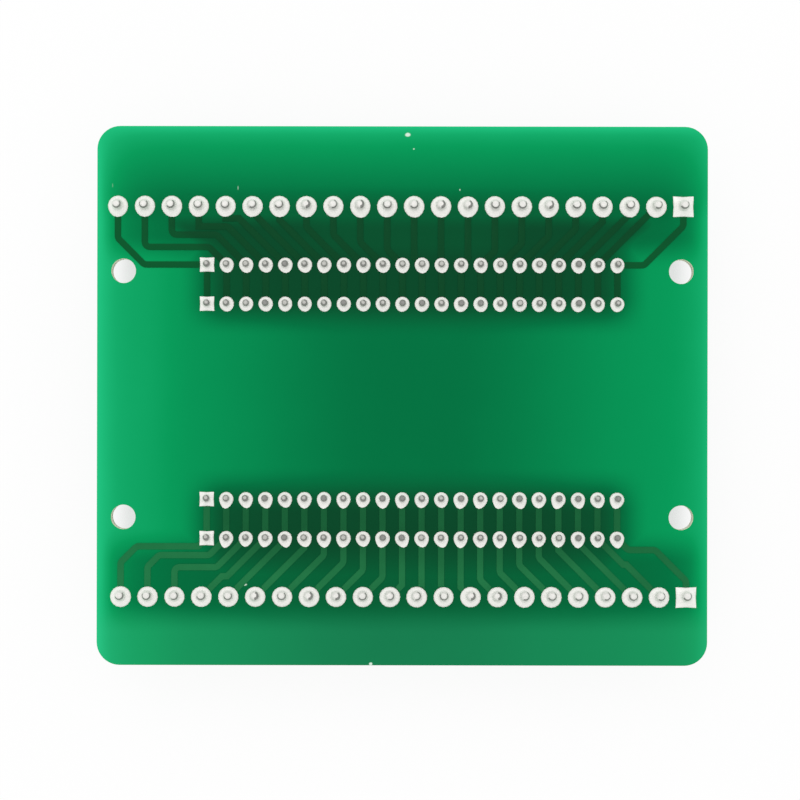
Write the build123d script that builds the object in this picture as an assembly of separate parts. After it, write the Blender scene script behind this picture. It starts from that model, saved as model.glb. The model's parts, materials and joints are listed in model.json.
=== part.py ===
from build123d import *
from math import atan2, copysign, degrees, radians, tan
import os

# Breakout board for a two-row plug-in module, with a screw terminal for each of its pins
# It lies on its terminals with the solder side up: X along the rows, Y across them, Z up, in millimetres
# The origin is on the floor under the middle of the board

# Circuit board
board_length = 79.4
board_width = 70.1
board_thickness = 1.6
board_corner_radius = 3.0
mount_hole_diameter = 3.2
mount_hole_spacing_x = 72.5
mount_hole_spacing_y = 32.0
mount_holes_centre_y = 0.2

# Rows of pins, with the spacing between the upper and the lower row of each kind
poles = 22
terminal_pitch = 3.5
header_pitch = 2.54
terminal_row_spacing = 50.8
pin_header_row_spacing = 35.56
socket_row_spacing = 25.4
rows_centre_y = -0.76
header_rows_centre_x = 1.27
terminals_centre_x = {"upper": -0.25, "lower": 0.17}

# Screw terminal blocks, with depths from the line of the pins and heights from the board
poles_per_block = 2
block_height = 8.6
block_front = 3.45
block_back = 3.65
block_gap = 0.1
block_front_wall_height = 5.9
block_front_slope = 1.2
block_back_bevel = 0.8
entry_width = 2.8
entry_height = 3.2
entry_sill = 0.9
cage_height = 3.0
cage_depth = 3.2
cage_wall = 0.35
cage_clearance = 0.1
well_diameter = 2.6
well_offset = 0.5
screw_clearance = 0.1
screw_recess = 0.6
terminal_pin_width = 1.0
terminal_pin_depth = 0.8

# Pin headers and module sockets
header_pin_width = 0.64
pin_header_width = 2.5
pin_header_height = 2.54
pin_header_pin_height = 8.5
socket_width = 2.5
socket_height = 8.5
socket_hole_width = 0.9
socket_contact_height = 2.3
pin_clearance = 0.04

# Solder joints and tracks
terminal_pad_diameter = 2.7
terminal_solder_height = 1.8
terminal_solder_tip_diameter = 1.1
header_pad_diameter = 1.9
header_solder_height = 1.4
header_solder_tip_diameter = 0.8
track_width = 0.82
track_thickness = 0.05

# A track whose 45 degree run falls short has a lane across the board: how far down the way to the header
# the lane is, and how much of that drop its corner cuts off, from the outermost track inwards
lane_and_corner_shares = {
    ("upper", "left"): ((1.0, 0.45), (0.70, 0.0), (0.49, 0.0), (0.35, 0.0), (0.21, 0.0)),
    ("upper", "right"): ((1.0, 0.67),),
    ("lower", "left"): ((0.86, 0.32), (0.71, 0.28), (0.505, 0.0), (0.35, 1.0)),
    ("lower", "right"): ((0.81, 0.65), (0.56, 1.0)),
}

# Small rounds that repeat are drawn with a few flats to keep the part light
small_round_sides = 6
cut_overrun = 1.0
same_place = 0.001
half_turn = 180
quarter_turn = 90

# Heights and places that follow
component_face = block_height
solder_face = component_face + board_thickness
cage_top = entry_sill + cage_height
sides = {"upper": 1, "lower": -1}
on_base = (Align.CENTER, Align.CENTER, Align.MIN)


def row_x(pitch, centre_x):
    """X of each pin of a row."""
    return [centre_x + pitch * (pole - (poles - 1) / 2) for pole in range(poles)]


def row_y(spacing, side):
    """Y of the upper or the lower row of a kind."""
    return rows_centre_y + sides[side] * spacing / 2


def hung(x, y, side):
    """Frame on the component face with its Y to the board's edge and its Z away from the board."""
    turn = Rot(Y=half_turn) if side == "upper" else Rot(X=half_turn)
    return Pos(x, y, component_face) * turn


def small_round(diameter, facing):
    """Outline of a small round, with two of its flats facing along the board at 0 and across it at 90."""
    turn = facing - half_turn / small_round_sides
    return RegularPolygon(diameter / 2, small_round_sides, major_radius=False, rotation=turn)


def pads(xs, y, diameter, square_pole):
    """Outlines of the pads of a row, square for the pole that is marked."""
    round_pad = small_round(diameter, quarter_turn)
    square_pad = Rectangle(diameter, diameter)
    return [Pos(x, y) * (square_pad if pole == square_pole else round_pad) for pole, x in enumerate(xs)]


def save(name, shapes):
    """Write the solids of one node."""
    export_step(Compound([shape.solid() for shape in shapes]), os.path.join("parts", f"{name}.step"))


def circuit_board():
    """The sheet with its mounting holes and a hole for each pin."""
    spots = GridLocations(mount_hole_spacing_x, mount_hole_spacing_y, 2, 2)
    holes = [Pos(Y=mount_holes_centre_y) * spot * Circle(mount_hole_diameter / 2) for spot in spots]
    header_hole = header_pin_width + 2 * pin_clearance
    terminal_hole = (terminal_pin_width + 2 * pin_clearance, terminal_pin_depth + 2 * pin_clearance)
    for side in sides:
        for spacing in (pin_header_row_spacing, socket_row_spacing):
            y = row_y(spacing, side)
            xs = row_x(header_pitch, header_rows_centre_x)
            holes += [Pos(x, y) * Rectangle(header_hole, header_hole) for x in xs]
        y = row_y(terminal_row_spacing, side)
        xs = row_x(terminal_pitch, terminals_centre_x[side])
        holes += [Pos(x, y) * Rectangle(*terminal_hole) for x in xs]
    sheet = RectangleRounded(board_length, board_width, board_corner_radius) - holes
    return Pos(Z=component_face) * extrude(sheet, amount=board_thickness)


def track_points(terminal, header, pole, side):
    """Corners of a track from a terminal pad to a header pad, by straight and 45 degree runs."""
    across = header.X - terminal.X
    along = copysign(1, across)
    down = -sides[side]
    fall = abs(header.Y - terminal.Y)
    spare = fall - abs(across)
    if abs(across) < track_width / 2:
        x = terminal.X if side == "upper" else header.X
        return [Vector(x, terminal.Y), Vector(x, header.Y)]
    if spare >= 0:
        stub_at_terminal = Vector(terminal.X, terminal.Y + down * spare)
        stub_at_header = Vector(header.X, header.Y - down * spare)
        return [terminal, stub_at_terminal if side == "upper" else stub_at_header, header]
    hand, order = ("left", pole) if across > 0 else ("right", poles - 1 - pole)
    shares = lane_and_corner_shares[side, hand]
    lane_share, corner_share = shares[min(order, len(shares) - 1)]
    lane_share *= min(1, len(shares) / (order + 1))
    lane_fall = fall * lane_share
    corner = lane_fall * corner_share
    lane_y = terminal.Y + down * lane_fall
    return [
        terminal,
        Vector(terminal.X, lane_y - down * corner),
        Vector(terminal.X + along * corner, lane_y),
        Vector(header.X - along * (fall - lane_fall), lane_y),
        header,
    ]


def strip(points):
    """Flat strip of the track's width along straight runs, with full corners."""
    runs = [(a, b) for a, b in zip(points, points[1:]) if (b - a).length > same_place]
    ways = [(b - a).normalized() for a, b in runs]
    laps = [track_width / 2 * tan(radians(one.get_angle(two) / 2)) for one, two in zip(ways, ways[1:])]
    outline = Sketch()
    for (a, b), way, lap_before, lap_after in zip(runs, ways, [0, *laps], [*laps, 0]):
        start = a - way * lap_before
        end = b + way * lap_after
        edge = Vector(-way.Y, way.X) * (track_width / 2)
        outline += Polygon(start + edge, start - edge, end - edge, end + edge, align=None)
    return outline


def tracks():
    """All tracks on the solder face, each ending at the pads that it joins."""
    header_xs = row_x(header_pitch, header_rows_centre_x)
    outlines = []
    for side in sides:
        terminal_y = row_y(terminal_row_spacing, side)
        pin_y = row_y(pin_header_row_spacing, side)
        socket_y = row_y(socket_row_spacing, side)
        terminal_xs = row_x(terminal_pitch, terminals_centre_x[side])
        terminal_pads = pads(terminal_xs, terminal_y, terminal_pad_diameter, poles - 1)
        pin_pads = pads(header_xs, pin_y, header_pad_diameter, 0)
        socket_pads = pads(header_xs, socket_y, header_pad_diameter, 0)
        for pole in range(poles):
            terminal = Vector(terminal_xs[pole], terminal_y)
            pin = Vector(header_xs[pole], pin_y)
            socket = Vector(header_xs[pole], socket_y)
            points = track_points(terminal, pin, pole, side)
            outlines.append(strip(points) - [terminal_pads[pole], pin_pads[pole]])
            outlines.append(strip([pin, socket]) - [pin_pads[pole], socket_pads[pole]])
    return [Pos(Z=solder_face) * extrude(outline, amount=track_thickness, dir=(0, 0, 1)) for outline in outlines]


def solder(outlines, diameter, tip_diameter, height):
    """Joints of a row, each the solder on its pad and the pin's end that it has wetted."""
    taper = degrees(atan2((diameter - tip_diameter) / 2, height))
    return [Pos(Z=solder_face) * extrude(outline, amount=height, taper=taper) for outline in outlines]


def terminal_block():
    """Housing of the poles of one block, open in front for the wires and on top for the screws."""
    profile = Plane.YZ * Polygon(
        (-block_back, 0),
        (block_front, 0),
        (block_front, block_front_wall_height),
        (block_front - block_front_slope, block_height),
        (block_back_bevel - block_back, block_height),
        (-block_back, block_height - block_back_bevel),
        align=None,
    )
    half_length = (poles_per_block * terminal_pitch - block_gap) / 2
    housing = extrude(profile, amount=half_length, both=True)
    entry_back = well_offset - cage_depth / 2 - cage_clearance
    entry_depth = block_front + cut_overrun - entry_back
    entry_corner = (Align.CENTER, Align.MIN, Align.MIN)
    entry = Pos(0, entry_back, entry_sill) * Box(entry_width, entry_depth, entry_height, align=entry_corner)
    well_depth = block_height + cut_overrun - cage_top
    well = Pos(0, well_offset, cage_top) * extrude(small_round(well_diameter, 0), amount=well_depth)
    for pole in range(poles_per_block):
        x = terminal_pitch * (pole - (poles_per_block - 1) / 2)
        housing -= [Pos(x) * entry, Pos(x) * well]
    return housing


def wire_cage():
    """Square frame on the entry's floor that the screw draws up round the wire."""
    width = entry_width - 2 * cage_clearance
    spot = Pos(0, well_offset, entry_sill)
    wire_way = (width - 2 * cage_wall, cage_depth + 2 * cut_overrun, cage_height - 2 * cage_wall)
    frame = spot * Box(width, cage_depth, cage_height, align=on_base)
    return frame - spot * Pos(Z=cage_wall) * Box(*wire_way, align=on_base)


def clamp_screw():
    """Screw that stands on its cage at the bottom of the well."""
    rod = small_round(well_diameter - 2 * screw_clearance, 0)
    return Pos(0, well_offset, cage_top) * extrude(rod, amount=block_height - screw_recess - cage_top)


def post(width, depth, top):
    """Pin that goes through the board to the solder face."""
    return Pos(Z=-board_thickness) * Box(width, depth, board_thickness + top, align=on_base)


def header_body(width, height, hole_width):
    """Moulded strip of a header or socket with a hole for each pole."""
    holes = [Pos(x) * Rectangle(hole_width, hole_width) for x in row_x(header_pitch, 0)]
    return extrude(Rectangle(poles * header_pitch, width) - holes, amount=height)


def save_terminals(side):
    """One row of terminal blocks with their metalwork and joints."""
    y = row_y(terminal_row_spacing, side)
    centre_x = terminals_centre_x[side]
    xs = row_x(terminal_pitch, centre_x)
    spots = [hung(x, y, side) for x in xs]
    blocks = poles // poles_per_block
    block = terminal_block()
    for number in range(blocks):
        x = centre_x + poles_per_block * terminal_pitch * (number - (blocks - 1) / 2)
        save(f"{side}_terminal_block_{number + 1:02}", [hung(x, y, side) * block])
    cage = wire_cage()
    screw = clamp_screw()
    pin = post(terminal_pin_width, terminal_pin_depth, 0)
    save(f"{side}_wire_cages", [spot * cage for spot in spots])
    save(f"{side}_clamp_screws", [spot * screw for spot in spots])
    save(f"{side}_terminal_pins", [spot * pin for spot in spots])
    outlines = pads(xs, y, terminal_pad_diameter, poles - 1)
    size = (terminal_pad_diameter, terminal_solder_tip_diameter, terminal_solder_height)
    save(f"{side}_terminal_solder", solder(outlines, *size))


def save_header(name, side, spacing, body, pin):
    """One moulded strip with its pins and joints."""
    y = row_y(spacing, side)
    xs = row_x(header_pitch, header_rows_centre_x)
    save(f"{side}_{name}_body", [hung(header_rows_centre_x, y, side) * body])
    save(f"{side}_{name}_pins", [hung(x, y, side) * pin for x in xs])
    outlines = pads(xs, y, header_pad_diameter, 0)
    size = (header_pad_diameter, header_solder_tip_diameter, header_solder_height)
    save(f"{side}_{name}_solder", solder(outlines, *size))


os.makedirs("parts", exist_ok=True)
save("circuit_board", [circuit_board()])
save("tracks", tracks())
pin_header_body = header_body(pin_header_width, pin_header_height, header_pin_width + 2 * pin_clearance)
pin_header_pin = post(header_pin_width, header_pin_width, pin_header_pin_height)
socket_body = header_body(socket_width, socket_height, socket_hole_width)
socket_contact = post(header_pin_width, header_pin_width, socket_contact_height)
for side in sides:
    save_terminals(side)
    save_header("pin_header", side, pin_header_row_spacing, pin_header_body, pin_header_pin)
    save_header("socket", side, socket_row_spacing, socket_body, socket_contact)
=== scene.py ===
import json
import math
import random
from contextlib import contextmanager
from functools import partial

import bmesh
import bpy
from bpy.props import FloatProperty, FloatVectorProperty, IntProperty, PointerProperty
from mathutils import Color, Matrix, Vector


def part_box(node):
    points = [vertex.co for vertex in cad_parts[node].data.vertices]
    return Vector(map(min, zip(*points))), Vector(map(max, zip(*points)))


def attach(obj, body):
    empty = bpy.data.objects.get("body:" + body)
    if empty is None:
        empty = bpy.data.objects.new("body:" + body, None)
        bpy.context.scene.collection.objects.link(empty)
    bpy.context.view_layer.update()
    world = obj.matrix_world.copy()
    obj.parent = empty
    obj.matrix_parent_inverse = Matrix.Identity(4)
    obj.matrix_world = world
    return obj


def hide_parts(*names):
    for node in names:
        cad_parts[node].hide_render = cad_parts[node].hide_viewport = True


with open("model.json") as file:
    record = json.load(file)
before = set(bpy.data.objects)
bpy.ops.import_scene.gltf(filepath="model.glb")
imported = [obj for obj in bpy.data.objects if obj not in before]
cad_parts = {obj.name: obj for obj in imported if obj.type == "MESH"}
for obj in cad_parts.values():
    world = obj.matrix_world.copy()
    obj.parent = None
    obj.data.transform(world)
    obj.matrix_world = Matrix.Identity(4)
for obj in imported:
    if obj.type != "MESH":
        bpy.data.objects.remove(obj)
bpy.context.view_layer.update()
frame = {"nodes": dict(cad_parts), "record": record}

bl_info = {
    "name": "Breakout board",
    "version": (1, 0, 0),
    "blender": (4, 5, 0),
    "location": "View3D > Sidebar > Breakout board",
    "description": "Dresses the breakout board with its joints, terminals, headers and sockets",
    "category": "Object",
}

# Places that come from the frame, in metres
mm = 0.001
rows = ("upper", "lower")
pin_kinds = ("terminal", "pin_header", "socket")
board_low, board_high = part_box("circuit_board")
solder_face = board_high.z
component_face = board_low.z
mount_holes = next(mount for mount in frame["record"]["mounts"] if mount["name"] == "mounting_holes")

# Small sizes and limits of the modelling itself
cut_overrun = 1 * mm
same_place = 0.002 * mm
same_way = 0.99
smooth_angle = math.radians(32)
soft_angle = math.radians(40)
flat_angle = math.radians(1)
square_bend = math.radians(70)
least_bend = math.radians(30)


def seen(red, green, blue):
    """A colour as the eye sees it, from 0 to 255, as a shader takes it."""
    return tuple(Color((red / 255, green / 255, blue / 255)).from_srgb_to_scene_linear())


def length(name, description, default, least=0.0):
    """A size that a user may change."""
    return FloatProperty(
        name=name, description=description, default=default, min=least, precision=5, unit="LENGTH"
    )


def angle(name, description, degrees):
    """An angle that a user may change."""
    return FloatProperty(name=name, description=description, default=math.radians(degrees), subtype="ANGLE")


def count(name, description, default, least=0):
    """A whole number that a user may change."""
    return IntProperty(name=name, description=description, default=default, min=least)


def colour(name, description, default):
    """A colour that a user may change."""
    return FloatVectorProperty(
        name=name, description=description, default=default, size=3, min=0, max=1, subtype="COLOR"
    )


def share(name, description, default):
    """A share from 0 to 1 that a user may change."""
    return FloatProperty(name=name, description=description, default=default, min=0, max=1, subtype="FACTOR")


# Settings


class BoardSettings(bpy.types.PropertyGroup):
    """The sheet and its tracks."""

    corner_radius: length("Corner radius", "Round of the sheet's corners", 3 * mm)
    corner_segments: count("Corner segments", "Facets of a corner", 10, 1)
    edge_chamfer: length("Edge chamfer", "Broken edge round the sheet", 0.08 * mm)
    hole_sides: count("Hole sides", "Facets of a mounting hole", 48, 8)
    pin_clearance: length("Pin clearance", "Room round a pin in its hole", 0.04 * mm)
    track_edge: length("Track edge", "Soft edge of the mask over a track", 0.025 * mm)
    bend_segments: count("Bend segments", "Facets of a track's bend", 4, 1)
    bend_inside: length("Inside of a bend", "Radius on the inside of a track's bends", 0.25 * mm)
    bend_outside: length("Outside of a bend", "Radius on the outside of a track's bends", 1.05 * mm)
    # Mask tones for painted light and shade: covered by the parts behind, up to the lit rim
    covered: colour("Covered mask", "Mask where parts behind it take the light", seen(8, 72, 41))
    middle: colour("Mask in the middle", "Mask far from the edges", seen(0, 113, 64))
    open: colour("Open mask", "Mask where light comes through", seen(3, 153, 88))
    bright: colour("Bright mask", "Mask near the edges", seen(16, 169, 104))
    rim: colour("Rim", "Mask at the lit edge", seen(30, 191, 125))
    edge_glow: colour("Haze", "Light that lies over the mask at the near edge", (0.15, 0.75, 0.5))
    cut_edge: colour("Cut edge", "Glass fibre at the cut edge", seen(236, 238, 218))
    chip: colour("Chip", "Bare fibre at a chip in the mask", seen(214, 236, 220))
    # Track tones for painted light and shade
    shaded_track: colour("Shaded track", "Mask over copper in the dark", seen(13, 71, 39))
    open_track: colour("Open track", "Mask over copper in the open", seen(12, 86, 45))
    lit_track: colour("Lit track", "Mask over copper that catches the light", seen(38, 124, 74))


class SolderSettings(bpy.types.PropertyGroup):
    """The joints on the solder face."""

    facets: count("Facets", "Facets round a joint, a multiple of 8", 16, 8)
    tail: share("Tail", "Drag mark of the solder bath as a share of the pad's radius", 0.3)
    waist: share("Square waist", "How far a square pad's sides draw in", 0.05)
    size_spread: share("Size spread", "How much joints differ in width", 0.05)
    height_spread: share("Height spread", "How much joints differ in height", 0.12)
    turn_spread: angle("Turn spread", "How much joints are turned", 14)
    end_tilt: angle("End tilt", "Slant of a clipped pin end", 10)
    upper_lean: share("Upper lean", "Lean of the upper rows' pins, as a share of the pad's radius", 0.16)
    lower_lean: share("Lower lean", "Lean of the lower rows' pins, as a share of the pad's radius", 0.3)
    metal: colour("Solder", "Bright solder", seen(248, 247, 242))
    # Painted shade: the dark arc on one side of a clipped pin end
    end: colour("Pin end", "Shaded side of a clipped pin end", seen(146, 146, 142))
    pin: colour("Terminal pin", "Sides and clipped face of a terminal's pin", seen(238, 237, 232))
    dull_pin: colour("Header pin", "Sides and clipped face of header and socket pins", seen(196, 196, 190))
    seed: count("Seed", "Start of the joints' small differences", 7)


class TerminalSettings(bpy.types.PropertyGroup):
    """The screw terminals."""

    edge_chamfer: length("Edge chamfer", "Chamfer of each pole's end, which makes the groove", 0.16 * mm)
    edge_round: length("Edge round", "Round of the long edges", 0.18 * mm)
    front_wall: length("Front wall", "Height of the upright front", 5.9 * mm)
    front_slope: length("Front slope", "How far the front leans back above that", 1.2 * mm)
    back_bevel: length("Back bevel", "Bevel of the back edge", 0.8 * mm)
    entry_clearance: length("Entry clearance", "Room round a wire cage", 0.1 * mm)
    entry_flare: length("Entry flare", "Lead-in of a wire entry", 0.2 * mm)
    well_clearance: length("Well clearance", "Room round a clamp screw", 0.1 * mm)
    well_flare: length("Well flare", "Lead-in of a screw well", 0.16 * mm)
    well_sides: count("Well sides", "Facets of a screw well", 28, 8)
    slot_width: length("Slot width", "Width of a screw's slot", 0.5 * mm)
    slot_depth: length("Slot depth", "Depth of a screw's slot", 0.6 * mm)
    metal_round: length("Metal round", "Round of the metal's edges", 0.06 * mm)
    plastic: colour("Plastic", "Moulded housing", seen(24, 132, 74))
    metal: colour("Metal", "Nickel plated metal", seen(205, 205, 200))
    seed: count("Seed", "Start of the screws' turns", 3)


class HeaderSettings(bpy.types.PropertyGroup):
    """The pin headers and the module sockets."""

    notch: length("Notch", "Notch between the poles of a pin header", 0.42 * mm)
    edge_round: length("Edge round", "Round of the moulded edges", 0.07 * mm)
    pin_tip: length("Pin tip", "Length of a pin's pointed end", 0.7 * mm)
    pin_tip_share: share("Pin tip width", "Width of the point's end", 0.45)
    pin_clearance: length("Pin clearance", "Room round a pin in its body", 0.04 * mm)
    socket_hole: length("Socket hole", "Width of a socket's hole", 0.9 * mm)
    socket_mouth: length("Socket mouth", "Width of the lead-in at its mouth", 1.5 * mm)
    socket_lead: length("Socket lead-in", "Depth of that lead-in", 0.5 * mm)
    plastic: colour("Plastic", "Moulded bodies", seen(27, 27, 29))
    gilt: colour("Gilt", "Gilt pins", seen(226, 190, 110))
    tin: colour("Tin", "Tinned pins and contacts", seen(200, 200, 198))


class StageSettings(bpy.types.PropertyGroup):
    """Floor, light and camera."""

    camera_height: length("Camera height", "Height over the solder face", 220 * mm)
    camera_x: length("Camera X", "Place along the rows", -0.295 * mm, -1.0)
    camera_y: length("Camera Y", "Place across the rows", -0.54 * mm, -1.0)
    camera_roll: angle("Camera roll", "Turn of the camera", 0.1)
    lens: FloatProperty(name="Lens", description="Focal length", default=76.15, min=1, unit="CAMERA")
    sensor: FloatProperty(name="Sensor", description="Width of the film", default=36, min=1, unit="CAMERA")
    floor_size: length("Floor size", "Side of the floor", 4.0)
    floor: colour("Floor", "Pale floor", (0.95, 0.95, 0.95))
    floor_white: share("Floor white", "Share of plain white in the floor that shows", 0.9)
    floor_shade: share("Floor shade", "Share of that white that is missing under the board", 0.31)
    floor_fade: length("Floor fade", "Width of that shade's edge", 3 * mm)
    dome_strength: FloatProperty(name="Dome", description="Strength of the soft dome", default=0.93, min=0)
    key_power: FloatProperty(
        name="Key light", description="Power of the key light", default=0.4, min=0, unit="POWER"
    )
    key_place: FloatVectorProperty(
        name="Key place", description="Place of the key light", default=(-0.12, 0.32, 0.42), unit="LENGTH"
    )
    key_size: length("Key size", "Side of the key light", 0.35)


class BreakoutSettings(bpy.types.PropertyGroup):
    """All settings of the board."""

    board: PointerProperty(name="Board", description="Sheet and tracks", type=BoardSettings)
    solder: PointerProperty(name="Solder", description="Joints", type=SolderSettings)
    terminals: PointerProperty(name="Terminals", description="Screw terminals", type=TerminalSettings)
    headers: PointerProperty(name="Headers", description="Pin headers and sockets", type=HeaderSettings)
    stage: PointerProperty(name="Stage", description="Floor, light and camera", type=StageSettings)


# Modelling helpers


def only(*pieces):
    """Leave only these objects selected, the last one active."""
    bpy.ops.object.select_all(action="DESELECT")
    for piece in pieces:
        piece.select_set(True)
        bpy.context.view_layer.objects.active = piece


@contextmanager
def editing(piece):
    """Edit mode on one object, with all of it selected."""
    only(piece)
    bpy.ops.object.mode_set(mode="EDIT")
    bpy.ops.mesh.select_all(action="SELECT")
    yield
    bpy.ops.object.mode_set(mode="OBJECT")


def pick(kind, test):
    """Select, in edit mode, only the vertices, edges or faces that pass a test."""
    bpy.ops.mesh.select_mode(type=kind)
    bpy.ops.mesh.select_all(action="DESELECT")
    mesh = bmesh.from_edit_mesh(bpy.context.edit_object.data)
    parts = {"VERT": mesh.verts, "EDGE": mesh.edges, "FACE": mesh.faces}[kind]
    for part in parts:
        if test(part):
            part.select_set(True)
    mesh.select_flush_mode()
    bmesh.update_edit_mesh(bpy.context.edit_object.data)


def facing(axis, sign):
    """Test for faces that look along an axis."""
    return lambda face: face.normal[axis] * sign > same_way


def running(axis):
    """Test for edges that run along an axis, straight or at a slant."""
    return lambda edge: abs(edge.verts[0].co[axis] - edge.verts[1].co[axis]) > same_place


def level(edge):
    """Whether an edge lies flat."""
    return not running(2)(edge)


def long_rim(edge):
    """Whether an edge is round the top or the foot of a cell, and not shared with its neighbours."""
    return level(edge) and running(0)(edge)


def bevel(test, width, segments, **settings):
    """Bevel, in edit mode, the edges that pass a test."""
    pick("EDGE", test)
    bpy.ops.mesh.bevel(offset=width, segments=segments, affect="EDGES", **settings)


def started(name):
    """What was just added or selected as one object, with its place in its mesh."""
    bpy.ops.object.transform_apply(location=True, rotation=True, scale=True)
    if len(bpy.context.selected_objects) > 1:
        bpy.ops.object.join()
    piece = bpy.context.active_object
    piece.name = piece.data.name = name
    return piece


def box(name, low, high):
    """A plain box between two corners."""
    low, high = Vector(low), Vector(high)
    only()
    bpy.ops.mesh.primitive_cube_add(size=1, location=(low + high) / 2, scale=high - low)
    return started(name)


def rod(name, radius, foot, top, vertices):
    """A plain upright cylinder from the middle of its foot to the height of its top."""
    foot = Vector(foot)
    middle = foot + Vector((0, 0, (top - foot.z) / 2))
    only()
    bpy.ops.mesh.primitive_cylinder_add(vertices=vertices, radius=radius, depth=top - foot.z, location=middle)
    return started(name)


def grow(by, scale, centre):
    """Extrude what is selected by a step and scale its end about a point."""
    bpy.ops.mesh.extrude_region_move(TRANSFORM_OT_translate={"value": by})
    bpy.ops.transform.resize(value=scale, center_override=centre)


def lead_in(tool, axis, depth, flare, middle):
    """Widen a cutter at its end along an axis, and carry it on past the face that it cuts."""
    outwards = Vector([int(each == axis) for each in range(3)])
    with editing(tool):
        pick("FACE", facing(axis, 1))
        grow(depth * outwards, [1 if each == axis else flare for each in range(3)], middle)
        grow(cut_overrun * outwards, (1, 1, 1), middle)


def slice_off(point, outwards):
    """Cut all of what is being edited by a plane, and close it there."""
    bpy.ops.mesh.select_all(action="SELECT")
    bpy.ops.mesh.bisect(
        plane_co=point,
        plane_no=Vector(outwards).normalized(),
        use_fill=True,
        clear_outer=True,
        threshold=same_place,
    )


def drop(piece):
    """Remove an object that was only a tool or a pattern."""
    mesh = piece.data
    bpy.data.objects.remove(piece)
    bpy.data.meshes.remove(mesh)


def join(pieces, name):
    """Several objects as one."""
    only(*pieces)
    return started(name)


def copy_at(pattern, name, place):
    """A copy of a finished shape, with a mesh of its own, at a place."""
    piece = bpy.data.objects.new(name, pattern.data.copy())
    bpy.context.collection.objects.link(piece)
    piece.matrix_world = place
    return piece


def apply(piece, kind, **settings):
    """Add a modifier, set it and apply it."""
    modifier = piece.modifiers.new(kind.lower(), kind)
    for name, value in settings.items():
        setattr(modifier, name, value)
    only(piece)
    bpy.ops.object.modifier_apply(modifier=modifier.name)


def cut(piece, cutter):
    """Cut one object out of another."""
    apply(piece, "BOOLEAN", object=cutter, operation="DIFFERENCE", solver="EXACT")
    drop(cutter)


def smooth(piece):
    """Smooth shading over all but the sharp edges."""
    only(piece)
    bpy.ops.object.shade_smooth_by_angle(angle=smooth_angle)


def soften(piece, width, segments=2):
    """Round the sharp edges."""
    apply(
        piece,
        "BEVEL",
        width=width,
        segments=segments,
        limit_method="ANGLE",
        angle_limit=soft_angle,
        use_clamp_overlap=True,
    )
    smooth(piece)


def clean_copy(node, name):
    """A copy of a frame node's mesh, merged and with its flat faces whole."""
    piece = copy_at(frame["nodes"][node], name, Matrix())
    piece.data.materials.clear()
    with editing(piece):
        bpy.ops.mesh.customdata_custom_splitnormals_clear()
        bpy.ops.mesh.remove_doubles(threshold=same_place)
        bpy.ops.mesh.dissolve_limited(angle_limit=flat_angle)
    return piece


def chain(cell, poles):
    """A strip of a cell for each pole side by side, open to each other and closed at its ends."""
    pitch = poles[1].x - poles[0].x

    def at_end(face):
        across = abs(face.normal.x) > same_way
        return across and all(abs(abs(vertex.co.x) - pitch / 2) < same_place for vertex in face.verts)

    with editing(cell):
        pick("FACE", at_end)
        bpy.ops.mesh.delete(type="FACE")
    apply(
        cell,
        "ARRAY",
        count=len(poles),
        use_relative_offset=False,
        use_constant_offset=True,
        constant_offset_displace=(pitch, 0, 0),
        use_merge_vertices=True,
        merge_threshold=same_place,
    )
    with editing(cell):
        pick("EDGE", lambda edge: edge.is_boundary)
        bpy.ops.mesh.fill_holes(sides=0)
        bpy.ops.mesh.select_all(action="SELECT")
        bpy.ops.transform.translate(value=(-(len(poles) - 1) * pitch / 2, 0, 0))
        bpy.ops.mesh.normals_make_consistent(inside=False)
    return cell


def pole_places(node):
    """Centres of a row's pins, from left to right."""
    low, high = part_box(node)
    walls = sorted({round(vertex.co.x, 6) for vertex in frame["nodes"][node].data.vertices})
    y = (low.y + high.y) / 2
    return [Vector(((left + right) / 2, y, 0)) for left, right in zip(walls[::2], walls[1::2])]


def half_width(node, pole):
    """Half the width of the first solid of a row."""
    return pole.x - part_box(node)[0].x


def hung(place, row):
    """Frame on the component face, with its Y to the board's edge and its Z away from the board."""
    turn = Matrix.Rotation(math.pi, 4, "Y" if row == "upper" else "X")
    return Matrix.Translation((place.x, place.y, component_face)) @ turn


def seat(piece, slot, finishes, *nodes):
    """Give a piece its finish and set it on the part in place of its nodes."""
    if not piece.data.materials:
        for finish in finishes:
            piece.data.materials.append(finish)
    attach(piece, "root")
    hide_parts(*nodes)


def set_copies(pattern, places, name, slot, finish, node):
    """Copies of a pattern at their places, as one piece in place of a node."""
    piece = join([copy_at(pattern, name, place) for place in places], name)
    smooth(piece)
    seat(piece, slot, [finish], node)


def strip_cell(kind):
    """One pole's cell of a strip that hangs from the origin, with the strip's poles and its height."""
    poles = pole_places(f"upper_{kind}_pins")
    half = (poles[1].x - poles[0].x) / 2
    low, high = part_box(f"upper_{kind}_body")
    deep, tall = (high.y - low.y) / 2, high.z - low.z
    return box(kind, (-half, -deep, 0), (half, deep, tall)), poles, tall


def set_strip(body, kind, row, name, plastic):
    """A copy of a finished strip in its row."""
    poles = pole_places(f"{row}_{kind}_pins")
    middle = (poles[0] + poles[-1]) / 2
    set_copies(body, [hung(middle, row)], f"{row}_{name}", "header_plastic", plastic, f"{row}_{kind}_body")


def paint(face_test, piece, index):
    """Give the faces that pass a test another of the piece's finishes."""
    with editing(piece):
        pick("FACE", face_test)
        piece.active_material_index = index
        bpy.ops.object.material_slot_assign()


# Finishes


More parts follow.
